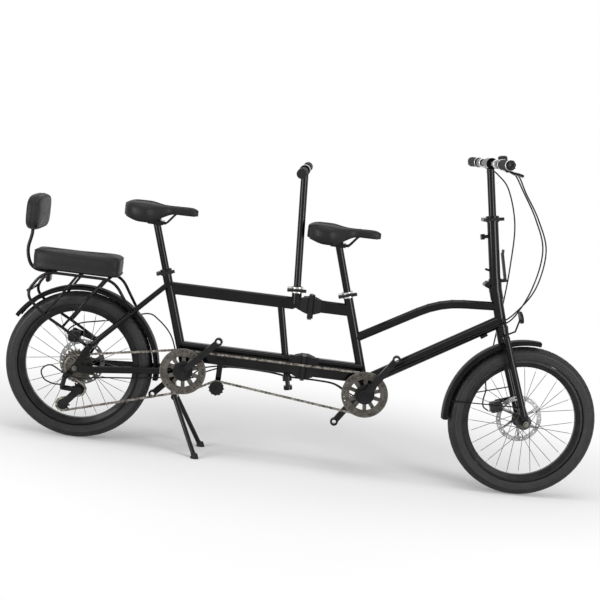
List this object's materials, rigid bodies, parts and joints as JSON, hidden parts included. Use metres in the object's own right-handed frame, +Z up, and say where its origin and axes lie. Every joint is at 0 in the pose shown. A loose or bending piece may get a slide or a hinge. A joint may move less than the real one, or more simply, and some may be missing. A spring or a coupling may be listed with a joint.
{
  "type": "folding tandem bicycle",
  "caption": "Folding tandem bicycle with small wheels, a frame that folds in the middle, two saddles, a stoker bar, a rear pad with backrest, disc brakes and a centre stand.",
  "frame": {"origin": "on the ground, midway along the bicycle", "axes": "+X forward, +Y to the rider's left, +Z up"},
  "size_m": [2.0534, 0.5784, 1.1465],
  "materials": {
    "frame_black": "gloss black paint",
    "black_alloy": "black anodised",
    "silver": "polished",
    "steel": "brushed",
    "ring": "grey bronze",
    "chain": "tan",
    "tyre": "matte",
    "grip": "matte",
    "seat": "matte synthetic",
    "plastic": "matte",
    "reflector": "clear reflector"
  },
  "bodies": {
    "rear_frame": {"rear_main_frame": "frame_black", "rear_stays": "frame_black", "rear_rack": "frame_black", "rack_pad": "seat", "backrest_pad": "seat", "rear_mudguard": "plastic", "rear_caliper": "black_alloy", "tensioner_bracket": "frame_black", "rear_collars": "silver", "derailleur": "black_alloy", "rear_cables": "plastic", "timing_chain": "chain", "drive_chain": "chain", "rear_axle": "steel"},
    "front_frame": {"front_main_frame": "frame_black", "front_collar": "silver", "fold_pins": "steel", "front_cables": "plastic"},
    "steering": {"fork": "frame_black", "front_axle": "steel", "front_mudguard": "plastic", "front_caliper": "black_alloy", "front_reflector": "reflector"},
    "front_wheel": {"front_tyre": "tyre", "front_rim": "black_alloy", "front_hub": "silver"},
    "rear_wheel": {"rear_tyre": "tyre", "rear_rim": "black_alloy", "rear_hub": "silver"},
    "rear_crankset": {"rear_cranks": "silver", "rear_chainrings": "ring"},
    "front_crankset": {"front_cranks": "silver", "front_chainring": "ring"},
    "freewheel": {"cassette": "steel"},
    "tensioner": {"tensioner_roller": "plastic"},
    "cage": {"derailleur_cage": "plastic"},
    "jockey_up": {"upper_jockey": "plastic"},
    "jockey_low": {"lower_jockey": "plastic"},
    "stand": {"kickstand": "frame_black"},
    "rear_seat": {"rear_seatpost": "black_alloy", "rear_saddle": "seat"},
    "front_seat": {"front_seatpost": "black_alloy", "front_saddle": "seat"},
    "stoker": {"stoker_bar": "frame_black"},
    "leg": {"support_leg": "frame_black"},
    "post": {"handlepost": "frame_black"},
    "post_latch": {"handlepost_latch": "frame_black"},
    "post_qr": {"handlepost_qr": "silver"},
    "bars": {"bar_mast": "black_alloy", "handlebar_grips": "grip"},
    "brake_right": {"right_brake_lever": "black_alloy"},
    "brake_left": {"left_brake_lever": "black_alloy"},
    "shift_lever": {"shifter": "plastic"},
    "seat_qr_rear": {"rear_seat_qr": "silver"},
    "seat_qr_front": {"front_seat_qr": "silver"},
    "post_qr_stoker": {"stoker_qr": "silver"},
    "latch_upper": {"upper_fold_latch": "frame_black"},
    "latch_lower": {"lower_fold_latch": "frame_black"},
    "brake_arm_front": {"front_caliper_arm": "steel"},
    "brake_arm_rear": {"rear_caliper_arm": "steel"}
  },
  "joints": [
    {"name": "frame_fold", "type": "hinge", "parent": "rear_frame", "child": "front_frame", "pos_m": [0.004, -0.034, 0.351], "axis": [0, 0, -1], "range_deg": [0, 150], "deforming": ["timing_chain", "rear_cables", "front_cables"]},
    {"name": "steer", "type": "hinge", "parent": "front_frame", "child": "steering", "pos_m": [0.75608, 0, 0.25227], "axis": [-0.2924, 0, 0.9563], "range_deg": [-53.6, 36.4], "deforming": ["front_cables"]},
    {"name": "front_wheel_spin", "type": "hinge", "parent": "steering", "child": "front_wheel", "pos_m": [0.77083, 0.00233, 0.25678], "axis": [-0.143, 0.9888, -0.0437], "continuous": true},
    {"name": "rear_wheel_spin", "type": "hinge", "parent": "rear_frame", "child": "rear_wheel", "pos_m": [-0.771, 0, 0.257], "axis": [0, 1, 0], "continuous": true},
    {"name": "rear_crank_spin", "type": "hinge", "parent": "rear_frame", "child": "rear_crankset", "pos_m": [-0.403, 0, 0.29], "axis": [0, 1, 0], "continuous": true, "deforming": ["timing_chain", "drive_chain"]},
    {"name": "front_crank_spin", "type": "hinge", "parent": "front_frame", "child": "front_crankset", "pos_m": [0.224, 0, 0.29], "axis": [0, 1, 0], "continuous": true, "deforming": ["timing_chain"]},
    {"name": "freewheel_spin", "type": "hinge", "parent": "rear_frame", "child": "freewheel", "pos_m": [-0.771, 0, 0.257], "axis": [0, 1, 0], "continuous": true},
    {"name": "tensioner_spin", "type": "hinge", "parent": "rear_frame", "child": "tensioner", "pos_m": [-0.283, -0.0525, 0.246], "axis": [0, 1, 0], "continuous": true},
    {"name": "cage_swing", "type": "hinge", "parent": "rear_frame", "child": "cage", "pos_m": [-0.755, -0.0435, 0.179], "axis": [0, 1, 0], "range_deg": [-20, 20], "stiffness_Nm_per_rad": 2, "deforming": ["drive_chain"]},
    {"name": "jockey_up_spin", "type": "hinge", "parent": "cage", "child": "jockey_up", "pos_m": [-0.755, -0.0435, 0.179], "axis": [0, 1, 0], "continuous": true},
    {"name": "jockey_low_spin", "type": "hinge", "parent": "cage", "child": "jockey_low", "pos_m": [-0.807, -0.0435, 0.119], "axis": [0, 1, 0], "continuous": true},
    {"name": "stand_fold", "type": "hinge", "parent": "rear_frame", "child": "stand", "pos_m": [-0.427, 0, 0.19], "axis": [0, 1, 0], "range_deg": [0, 98]},
    {"name": "rear_seat_slide", "type": "slide", "parent": "rear_frame", "child": "rear_seat", "axis": [0.2924, 0, -0.9563], "range_m": [-0.05, 0.1]},
    {"name": "front_seat_slide", "type": "slide", "parent": "front_frame", "child": "front_seat", "axis": [0.2924, 0, -0.9563], "range_m": [-0.015, 0.08]},
    {"name": "stoker_slide", "type": "slide", "parent": "rear_frame", "child": "stoker", "axis": [-0.0523, 0, 0.9986], "range_m": [-0.08, 0.02]},
    {"name": "leg_slide", "type": "slide", "parent": "rear_frame", "child": "leg", "axis": [0.2001, 0, -0.9798], "range_m": [0, 0.2]},
    {"name": "post_fold", "type": "hinge", "parent": "steering", "child": "post", "pos_m": [0.58529, -0.00445, 0.71025], "axis": [-0.143, 0.9888, -0.0437], "range_deg": [-50, 0], "deforming": ["front_cables"]},
    {"name": "post_latch_swing", "type": "hinge", "parent": "post", "child": "post_latch", "pos_m": [0.64881, 0.00568, 0.73151], "axis": [-0.143, 0.9888, -0.0437], "range_deg": [0, 100]},
    {"name": "post_qr_swing", "type": "hinge", "parent": "post", "child": "post_qr", "pos_m": [0.55397, -0.02709, 0.9296], "axis": [0.175, -0.0182, -0.9844], "range_deg": [0, 110]},
    {"name": "bars_slide", "type": "slide", "parent": "post", "child": "bars", "axis": [-0.175, 0.0182, 0.9844], "range_m": [-0.06, 0.05], "deforming": ["front_cables"]},
    {"name": "brake_right_pull", "type": "hinge", "parent": "bars", "child": "brake_right", "pos_m": [0.59257, -0.12539, 1.10779], "axis": [-0.4771, -0.1076, -0.8723], "range_deg": [0, 14], "stiffness_Nm_per_rad": 1.5},
    {"name": "brake_left_pull", "type": "hinge", "parent": "bars", "child": "brake_left", "pos_m": [0.5531, 0.14751, 1.09572], "axis": [0.4771, 0.1076, 0.8723], "range_deg": [0, 14], "stiffness_Nm_per_rad": 1.5},
    {"name": "shift_pull", "type": "hinge", "parent": "bars", "child": "shift_lever", "pos_m": [0.57787, -0.09697, 1.11232], "axis": [0.4771, 0.1076, 0.8723], "range_deg": [-15, 15], "stiffness_Nm_per_rad": 0.3},
    {"name": "rear_seat_qr_swing", "type": "hinge", "parent": "rear_frame", "child": "seat_qr_rear", "pos_m": [-0.52757, -0.025, 0.60852], "axis": [0.2924, 0, -0.9563], "range_deg": [0, 110]},
    {"name": "front_seat_qr_swing", "type": "hinge", "parent": "front_frame", "child": "seat_qr_front", "pos_m": [0.09943, -0.025, 0.60852], "axis": [0.2924, 0, -0.9563], "range_deg": [0, 110]},
    {"name": "stoker_qr_swing", "type": "hinge", "parent": "rear_frame", "child": "post_qr_stoker", "pos_m": [-0.07648, -0.026, 0.61057], "axis": [-0.0523, 0, 0.9986], "range_deg": [-110, 0]},
    {"name": "upper_latch_swing", "type": "hinge", "parent": "rear_frame", "child": "latch_upper", "pos_m": [-0.018, 0.0342, 0.564], "axis": [0, 0, 1], "range_deg": [0, 110]},
    {"name": "lower_latch_swing", "type": "hinge", "parent": "rear_frame", "child": "latch_lower", "pos_m": [-0.018, 0.0342, 0.351], "axis": [0, 0, 1], "range_deg": [0, 110]},
    {"name": "front_arm_pull", "type": "hinge", "parent": "steering", "child": "brake_arm_front", "pos_m": [0.67894, 0.041, 0.28829], "axis": [-0.143, 0.9888, -0.0437], "range_deg": [0, 20], "stiffness_Nm_per_rad": 0.5, "deforming": ["front_cables"]},
    {"name": "rear_arm_pull", "type": "hinge", "parent": "rear_frame", "child": "brake_arm_rear", "pos_m": [-0.805, 0.062, 0.345], "axis": [0, 1, 0], "range_deg": [0, 20], "stiffness_Nm_per_rad": 0.5, "deforming": ["rear_cables"]}
  ],
  "couplings": [
    {"joint": "front_crank_spin", "follows": "rear_crank_spin", "ratio": 1},
    {"joint": "freewheel_spin", "follows": "rear_crank_spin", "ratio": 1.8},
    {"joint": "front_arm_pull", "follows": "brake_left_pull", "ratio": 1.4},
    {"joint": "rear_arm_pull", "follows": "brake_right_pull", "ratio": 1.4}
  ]
}
